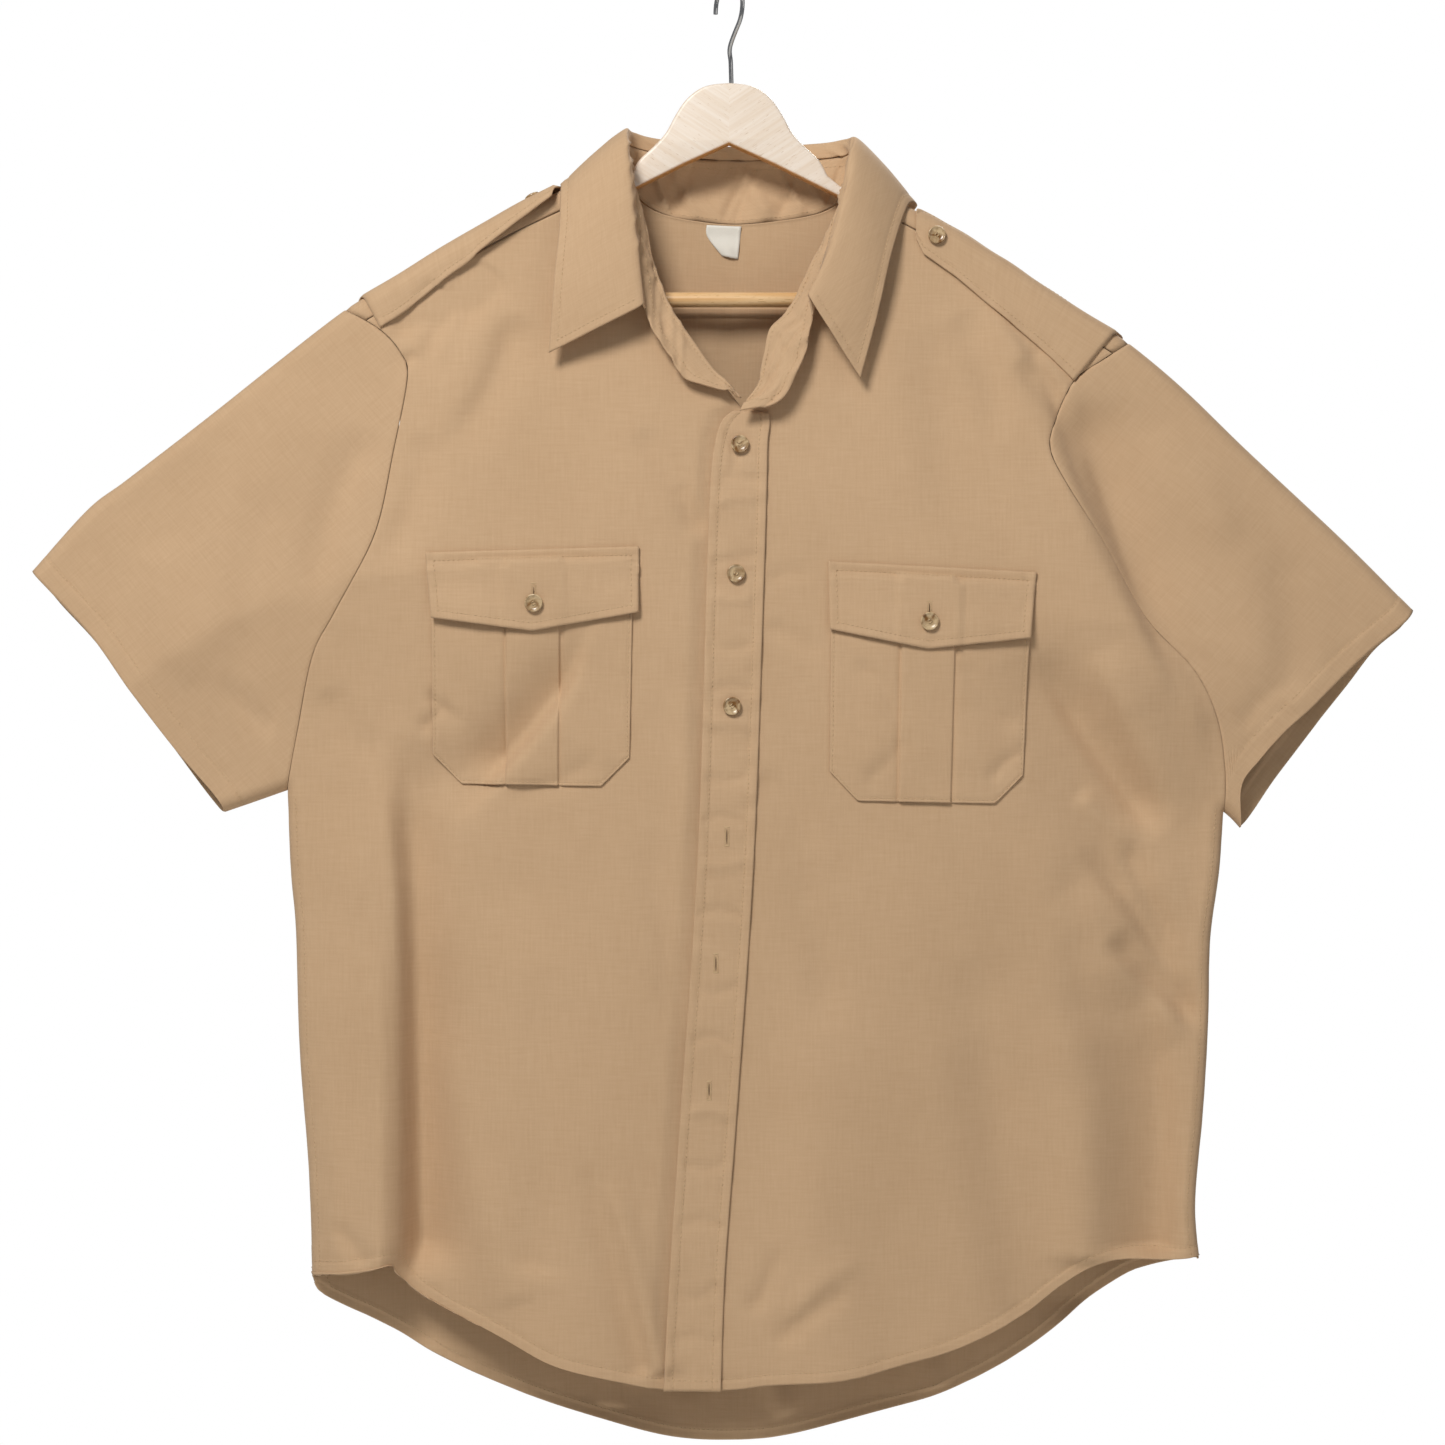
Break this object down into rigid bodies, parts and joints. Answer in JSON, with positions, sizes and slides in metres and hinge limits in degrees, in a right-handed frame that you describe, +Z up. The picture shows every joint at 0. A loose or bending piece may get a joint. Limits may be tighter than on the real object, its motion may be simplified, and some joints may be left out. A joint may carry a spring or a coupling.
{
  "type": "shirt on a hanger",
  "caption": "Short-sleeved khaki work shirt with shoulder straps and flapped chest pockets, on a wooden hanger with a bar.",
  "frame": {"origin": "inner top of the hook's loop, where it rests on a rail", "axes": "+Z up, -Y towards the shirt's front, +X towards the wearer's left, so the viewer's right"},
  "size_m": [0.9196, 0.0851, 0.9813],
  "materials": {
    "khaki_cloth": "tan poly-cotton poplin with a slightly slubby plain weave, matt",
    "horn_button": "moulded resin in a brown horn swirl, satin gloss",
    "label_cloth": "plain white woven tape, blank",
    "hanger_wood": "pale lacquered wood with fine dark pores",
    "bar_wood": "pale yellow lacquered dowel",
    "hook_wire": "plated steel wire"
  },
  "bodies": {
    "root": {"front_right": "khaki_cloth", "front_left": "khaki_cloth", "placket": "khaki_cloth", "back": "khaki_cloth", "back_yoke": "khaki_cloth", "sleeve_right": "khaki_cloth", "sleeve_left": "khaki_cloth", "collar_stand": "khaki_cloth", "collar": "khaki_cloth", "pocket_right": "khaki_cloth", "pocket_left": "khaki_cloth", "flap_right": "khaki_cloth", "flap_left": "khaki_cloth", "epaulette_right": "khaki_cloth", "epaulette_left": "khaki_cloth", "button_front_1": "horn_button", "button_front_2": "horn_button", "button_front_3": "horn_button", "button_pocket_right": "horn_button", "button_pocket_left": "horn_button", "button_epaulette_right": "horn_button", "button_epaulette_left": "horn_button", "neck_label": "label_cloth", "hanger_arms": "hanger_wood", "hanger_bar": "bar_wood", "hanger_hook": "hook_wire"}
  },
  "joints": []
}
